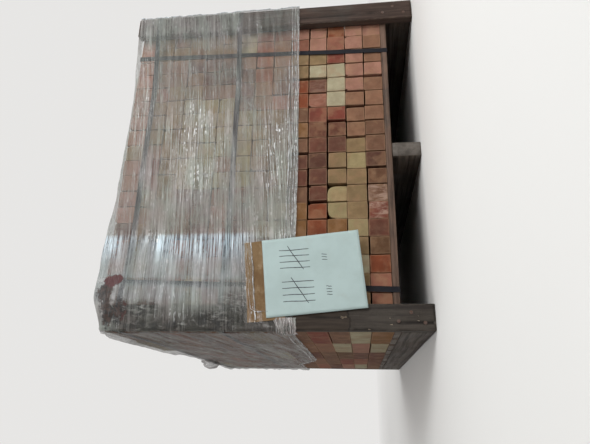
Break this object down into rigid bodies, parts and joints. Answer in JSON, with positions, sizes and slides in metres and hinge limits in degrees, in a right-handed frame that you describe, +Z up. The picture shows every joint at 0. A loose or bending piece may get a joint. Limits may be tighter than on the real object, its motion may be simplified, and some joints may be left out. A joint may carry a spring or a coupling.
{
  "type": "pallet of terracotta bars",
  "caption": "Wooden skid stacked with courses of square terracotta bars, held by corner posts and plastic straps and wrapped in stretch film.",
  "frame": {"origin": "on the floor, under the middle of the load, on the underside of the middle stringer", "axes": "+Z up; +Y from the front, where the bars' ends and the sheet show, to the back; +X to the right along the front"},
  "size_m": [1.024, 1.2611, 0.885],
  "materials": {
    "terracotta": "matte, rough fired clay",
    "skid_wood": "matte, weathered grey softwood",
    "post_wood": "matte, weathered brown softwood",
    "strap": "satin",
    "film": "glossy, clear, wrinkled",
    "card": "matte",
    "paper": "matte"
  },
  "bodies": {
    "root": {"stringer_left": "skid_wood", "stringer_middle": "skid_wood", "stringer_right": "skid_wood", "deck_board_1": "skid_wood", "deck_board_2": "skid_wood", "deck_board_3": "skid_wood", "deck_board_4": "skid_wood", "deck_board_5": "skid_wood", "deck_board_6": "skid_wood", "deck_board_7": "skid_wood", "deck_board_8": "skid_wood", "deck_board_9": "skid_wood", "post_front_left": "post_wood", "post_front_right": "post_wood", "post_back_left": "post_wood", "post_back_right": "post_wood", "bar_course_01": "terracotta", "bar_course_02": "terracotta", "bar_course_03": "terracotta", "bar_course_04": "terracotta", "bar_course_05": "terracotta", "bar_course_06": "terracotta", "bar_course_07": "terracotta", "bar_course_08": "terracotta", "bar_course_09": "terracotta", "bar_course_10": "terracotta", "bar_course_11": "terracotta", "bar_course_12": "terracotta", "bar_course_13": "terracotta", "bar_course_14": "terracotta", "upright_strap_left": "strap", "upright_strap_right": "strap", "level_strap_low": "strap", "level_strap_high": "strap", "stretch_film": "film", "card_pad": "card", "paper_sheet": "paper"}
  },
  "joints": []
}
